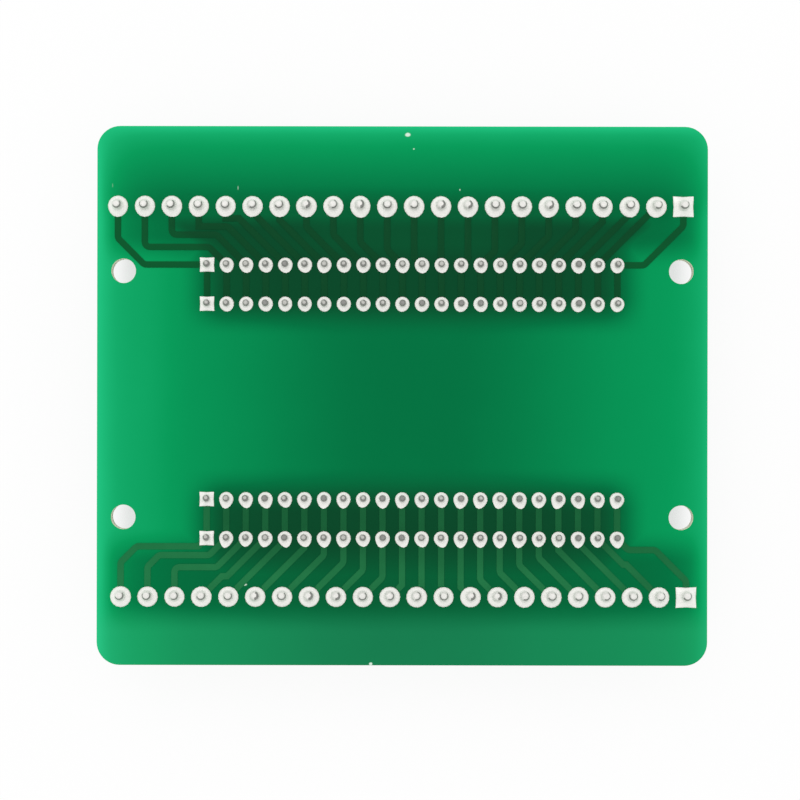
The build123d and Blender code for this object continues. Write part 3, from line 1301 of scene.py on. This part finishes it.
class BREAKOUT_OT_sockets(PieceOperator, bpy.types.Operator):
    """Build the module sockets, with a lead-in to each hole"""

    bl_idname = "breakout.sockets"
    bl_label = "Module sockets"

    def execute(self, context):
        look = context.scene.breakout.headers
        plastic = moulded("socket_plastic", look.plastic, shine=0.4)
        tin = metal("tin", look.tin, grain=0.4 * mm, shine=0.25, metallic=1.0)
        cell, poles, tall = strip_cell("socket")
        with editing(cell):
            bevel(long_rim, look.edge_round * 2, 2)
        cut(cell, self.hole_cutter(look, tall))
        body = chain(cell, poles)
        for row in rows:
            set_strip(body, "socket", row, "socket_strip", plastic)
            frame["nodes"][f"{row}_socket_pins"].material_slots[0].material = tin
        drop(body)
        return {"FINISHED"}

    def hole_cutter(self, look, tall):
        """Tool for a socket's hole, with its lead-in."""
        half = look.socket_hole / 2
        inner = tall - look.socket_lead
        tool = box("hole", (-half, -half, -cut_overrun), (half, half, inner))
        lead_in(tool, 2, look.socket_lead, look.socket_mouth / look.socket_hole, (0, 0, inner))
        return tool


class BREAKOUT_OT_stage(PieceOperator, bpy.types.Operator):
    """Lay the floor, light it and set the camera straight above the board"""

    bl_idname = "breakout.stage"
    bl_label = "Stage"

    def execute(self, context):
        look = context.scene.breakout.stage
        self.lay_floor(look)
        self.light_dome(context.scene, look)
        self.hang_key(look)
        only()
        place = (look.camera_x, look.camera_y, solder_face + look.camera_height)
        bpy.ops.object.camera_add(location=place, rotation=(0, 0, look.camera_roll))
        camera = bpy.context.active_object
        camera.name = "camera"
        camera.data.lens = look.lens
        camera.data.sensor_width = look.sensor
        context.scene.camera = camera
        context.scene.view_settings.view_transform = "Standard"
        return {"FINISHED"}

    @staticmethod
    def plain_view(finish):
        """1 where the stage is looked at, straight or in a mirror or through glass, and 0 for its light."""
        path = finish.node("ShaderNodeLightPath", out="Is Camera Ray")
        glossy, through = path.of("Is Glossy Ray"), path.of("Is Transmission Ray")
        return finish.most(path, finish.most(glossy, through))

    def lay_floor(self, look):
        """Pale floor that shows nearly white and keeps the shadow."""
        only()
        bpy.ops.mesh.primitive_plane_add(size=look.floor_size, location=(0, 0, 0))
        floor = started("floor")
        material = bpy.data.materials.new("pale_floor")
        material.use_nodes = True
        finish = Finish(material.node_tree)
        matt = finish.node("ShaderNodeBsdfDiffuse", {}, {"Color": (*look.floor, 1)})
        white = finish.node("ShaderNodeEmission", {}, {"Color": (1, 1, 1, 1), "Strength": 1.0})
        x, y, _ = finish.axes()
        # Painted shadow: less of the plain white shows under the board
        under = 1
        for edge, axis in zip(board_high, (x, y)):
            under = under * finish.step(edge / mm - abs(axis), 0, look.floor_fade / mm)
        shown = look.floor_white * self.plain_view(finish) * (1 - look.floor_shade * under)
        mixed = finish.node("ShaderNodeMixShader", {}, {0: shown, 1: matt, 2: white})
        finish.node("ShaderNodeOutputMaterial", {}, {"Surface": mixed})
        floor.data.materials.append(material)

    def light_dome(self, scene, look):
        """White dome, plain white where it is looked at."""
        world = bpy.data.worlds.new("soft_dome")
        world.use_nodes = True
        scene.world = world
        finish = Finish(world.node_tree)
        looked_at = self.plain_view(finish)
        strength = looked_at + (1 - looked_at) * look.dome_strength
        back = finish.node("ShaderNodeBackground", {}, {"Color": (1, 1, 1, 1), "Strength": strength})
        finish.node("ShaderNodeOutputWorld", {}, {"Surface": back})

    def hang_key(self, look):
        """Soft key light over the upper edge of the board."""
        place = Vector(look.key_place)
        turn = place.to_track_quat("Z", "Y").to_euler()
        only()
        bpy.ops.object.light_add(type="AREA", location=place, rotation=turn)
        lamp = bpy.context.active_object
        lamp.name = "key_light"
        lamp.data.energy = look.key_power
        lamp.data.size = look.key_size


operators = (
    BREAKOUT_OT_circuit_board,
    BREAKOUT_OT_tracks,
    BREAKOUT_OT_solder_joints,
    BREAKOUT_OT_terminals,
    BREAKOUT_OT_pin_headers,
    BREAKOUT_OT_sockets,
    BREAKOUT_OT_stage,
)


class BREAKOUT_PT_panel(bpy.types.Panel):
    """The board's pieces and stage."""

    bl_idname = "BREAKOUT_PT_panel"
    bl_label = "Breakout board"
    bl_space_type = "VIEW_3D"
    bl_region_type = "UI"
    bl_category = "Breakout board"

    def draw(self, context):
        for operator in operators:
            self.layout.operator(operator.bl_idname)


settings_groups = (
    BoardSettings,
    SolderSettings,
    TerminalSettings,
    HeaderSettings,
    StageSettings,
    BreakoutSettings,
)
classes = (*settings_groups, *operators, BREAKOUT_PT_panel)


def register():
    """Make the operators, the panel and the settings known."""
    for each in classes:
        bpy.utils.register_class(each)
    bpy.types.Scene.breakout = PointerProperty(
        name="Breakout board", description="Settings of the breakout board", type=BreakoutSettings
    )


def unregister():
    """Take them away again."""
    del bpy.types.Scene.breakout
    for each in reversed(classes):
        bpy.utils.unregister_class(each)


def main():
    """Dress the board."""
    register()
    bpy.ops.breakout.circuit_board()
    bpy.ops.breakout.tracks()
    bpy.ops.breakout.solder_joints()
    bpy.ops.breakout.terminals()
    bpy.ops.breakout.pin_headers()
    bpy.ops.breakout.sockets()
    bpy.ops.breakout.stage()


if __name__ == "__main__":
    main()
